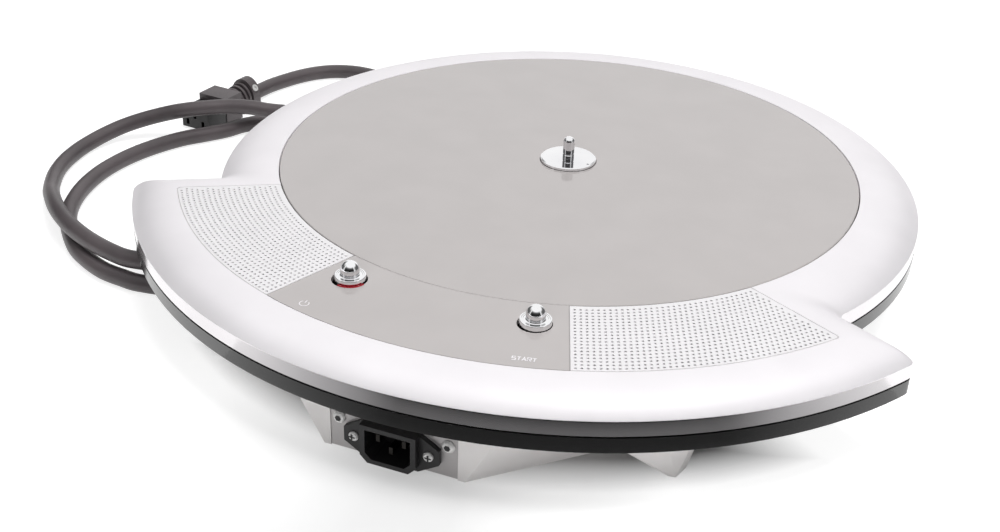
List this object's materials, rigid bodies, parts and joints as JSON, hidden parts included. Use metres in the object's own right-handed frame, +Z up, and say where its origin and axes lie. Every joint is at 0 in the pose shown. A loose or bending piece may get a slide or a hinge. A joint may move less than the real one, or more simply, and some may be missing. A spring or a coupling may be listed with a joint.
{
  "type": "record demagnetizer",
  "caption": "Low round platform with a central spindle, a wider front crescent with push buttons and perforated grilles, a flat coil inside, faceted legs and a mains lead.",
  "frame": {"origin": "on the table, under the middle of the body's box without the lead; the spindle stands 24.9 mm behind it", "axes": "+Z up along the spindle, -Y towards the front with the buttons and the mains inlet, +X to the right as seen from the front"},
  "size_m": [0.5841, 0.5063, 0.0785],
  "materials": {
    "shell_white": "smooth satin white",
    "shell_black": "glossy black",
    "plate_grey": "semi-gloss light grey",
    "grille_white": "white, perforated look",
    "polished": "turned and polished",
    "zinc_steel": "bright zinc",
    "spring_steel": "drawn wire and pressed clips",
    "core_steel": "plain mild steel",
    "light_red": "clear red light guide",
    "inner_plastic": "moulded",
    "former": "moulded bobbin",
    "copper": "enamelled copper wire",
    "board": "green laminate",
    "leads": "soft sleeve",
    "base_grey": "satin grey paint",
    "pads": "soft pads",
    "inlet_grey": "satin metal sheet",
    "inlet_black": "moulded",
    "contacts": "plated",
    "lead_grey": "dull warm grey"
  },
  "bodies": {
    "body": {"top_shell": "shell_white", "bottom_shell": "shell_black", "record_plate": "plate_grey", "control_panel": "plate_grey", "left_grille": "grille_white", "right_grille": "grille_white", "spindle_pin": "polished", "spindle_flange": "polished", "spindle_washer": "zinc_steel", "spindle_nut": "zinc_steel", "power_spring": "spring_steel", "start_spring": "spring_steel", "power_guide": "inner_plastic", "start_guide": "inner_plastic", "power_switch": "inner_plastic", "start_switch": "inner_plastic", "power_light": "light_red", "pole_plate": "core_steel", "coil_former": "former", "coil_winding": "copper", "coil_hub": "core_steel", "thermal_cutout": "inner_plastic", "control_board": "board", "board_screws": "zinc_steel", "terminal_block": "inner_plastic", "relay": "inner_plastic", "capacitor": "inner_plastic", "fuse_holder": "inner_plastic", "grommet": "leads", "inlet_leads": "leads", "coil_leads": "leads", "front_leg": "base_grey", "left_leg": "base_grey", "right_leg": "base_grey", "rear_legs": "base_grey", "foot_pads": "pads", "inlet_plate": "inlet_grey", "inlet_body": "inlet_black", "inlet_pins": "contacts", "inlet_screws": "zinc_steel", "plate_screws": "zinc_steel", "shell_screws": "zinc_steel", "leg_screws": "zinc_steel", "cord_run": "lead_grey", "cord_connector": "lead_grey", "connector_nose": "inlet_black", "connector_screw": "zinc_steel", "cord_plug": "lead_grey", "plug_relief": "lead_grey", "plug_pins": "zinc_steel"},
    "power_button": {"power_button": "polished", "power_clip": "spring_steel"},
    "start_button": {"start_button": "polished", "start_clip": "spring_steel"}
  },
  "joints": [
    {"name": "power_press", "type": "slide", "parent": "body", "child": "power_button", "axis": [0, 0, -1], "range_m": [0, 0.0022], "stiffness_N_per_m": 900, "springref_m": -0.001, "deforming": ["power_spring"]},
    {"name": "start_press", "type": "slide", "parent": "body", "child": "start_button", "axis": [0, 0, -1], "range_m": [0, 0.0022], "stiffness_N_per_m": 900, "springref_m": -0.001, "deforming": ["start_spring"]}
  ]
}
